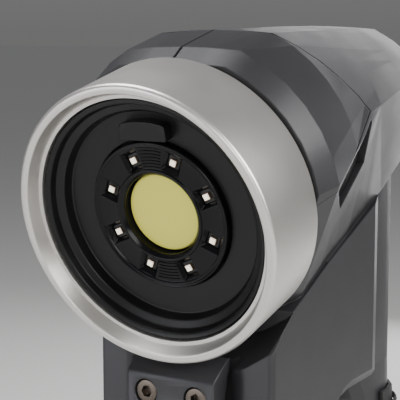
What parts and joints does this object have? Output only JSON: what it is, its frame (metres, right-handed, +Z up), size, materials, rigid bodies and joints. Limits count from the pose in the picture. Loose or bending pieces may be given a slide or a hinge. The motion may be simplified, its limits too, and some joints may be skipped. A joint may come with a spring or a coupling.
{
  "type": "handheld scanner",
  "caption": "Upright handheld 3D scanner with two hooded, lamp-ringed cameras, a front laser window and a closed-loop rear handle with trigger and thumb buttons.",
  "frame": {"origin": "centre of the object's box, at the underside of the rubber feet", "axes": "+Z up along the handle, -Y the way the cameras look, +X to the right seen from the front"},
  "size_m": [0.0692, 0.118, 0.273],
  "materials": {
    "ring_aluminium": "fine bead-blasted and clear anodised",
    "case_paint": "dark warm-neutral grey paint with a fine texture, satin",
    "black_plastic": "moulded black plastic, fine grain",
    "filter_glass": "olive-yellow interference-coated filter glass, polished",
    "window_glass": "dark tinted, polished",
    "circuit_board": "solder mask",
    "brass": "turned",
    "inner_aluminium": "milled",
    "steel": "blackened",
    "screw_steel": "bronze-black oxide",
    "rubber": "matt, fine grain",
    "trigger_plastic": "satin",
    "light_pipe": "milky, polished"
  },
  "bodies": {
    "body": {"upper_hood_ring": "ring_aluminium", "upper_hood_baffle": "black_plastic", "upper_lamp_cover": "black_plastic", "upper_lamp_board": "circuit_board", "upper_filter_glass": "filter_glass", "upper_lens_barrel": "black_plastic", "upper_sensor_board": "circuit_board", "upper_visor_left": "case_paint", "upper_visor_right": "case_paint", "upper_vent_left": "black_plastic", "upper_vent_right": "black_plastic", "upper_laser_projector": "brass", "lower_hood_ring": "ring_aluminium", "lower_hood_baffle": "black_plastic", "lower_lamp_cover": "black_plastic", "lower_lamp_board": "circuit_board", "lower_filter_glass": "filter_glass", "lower_lens_barrel": "black_plastic", "lower_sensor_board": "circuit_board", "lower_visor_left": "case_paint", "lower_visor_right": "case_paint", "lower_vent_left": "black_plastic", "lower_vent_right": "black_plastic", "lower_laser_projector": "brass", "left_shell": "case_paint", "right_shell": "case_paint", "front_plate": "case_paint", "laser_window": "window_glass", "optics_bar": "inner_aluminium", "main_board": "circuit_board", "heat_sink": "inner_aluminium", "fan_frame": "black_plastic", "fan_guard": "black_plastic", "trigger_spring": "steel", "trigger_switch": "black_plastic", "keypad_frame": "black_plastic", "status_light": "light_pipe", "cable_socket": "steel", "flap_pin": "steel", "grip_pad": "rubber", "front_foot": "rubber", "rear_foot": "rubber", "plate_screw_1": "screw_steel", "plate_screw_2": "screw_steel", "plate_screw_3": "screw_steel", "plate_screw_4": "screw_steel", "case_screw_1": "screw_steel", "case_screw_2": "screw_steel", "case_screw_3": "screw_steel", "case_screw_4": "screw_steel", "case_screw_5": "screw_steel"},
    "trigger": {"trigger": "trigger_plastic"},
    "button_a": {"button_1": "rubber"},
    "button_b": {"button_2": "rubber"},
    "button_c": {"button_3": "rubber"},
    "fan_rotor": {"fan_impeller": "black_plastic"},
    "flap": {"port_flap": "rubber"}
  },
  "joints": [
    {"name": "trigger_pull", "type": "slide", "parent": "body", "child": "trigger", "axis": [0, 1, 0], "range_m": [0, 0.0035], "stiffness_N_per_m": 400, "springref_m": -0.004, "deforming": ["trigger_spring"]},
    {"name": "button_a_press", "type": "slide", "parent": "body", "child": "button_a", "axis": [0, -1, 0], "range_m": [0, 0.001], "stiffness_N_per_m": 800, "springref_m": -0.001},
    {"name": "button_b_press", "type": "slide", "parent": "body", "child": "button_b", "axis": [0, -1, 0], "range_m": [0, 0.001], "stiffness_N_per_m": 800, "springref_m": -0.001},
    {"name": "button_c_press", "type": "slide", "parent": "body", "child": "button_c", "axis": [0, -1, 0], "range_m": [0, 0.001], "stiffness_N_per_m": 800, "springref_m": -0.001},
    {"name": "fan_spin", "type": "hinge", "parent": "body", "child": "fan_rotor", "pos_m": [0, 0.038, 0.2541], "axis": [0, 1, 0], "continuous": true},
    {"name": "flap_hinge", "type": "hinge", "parent": "body", "child": "flap", "pos_m": [0, 0.0579, 0.0314], "axis": [1, 0, 0], "range_deg": [0, 90]}
  ]
}
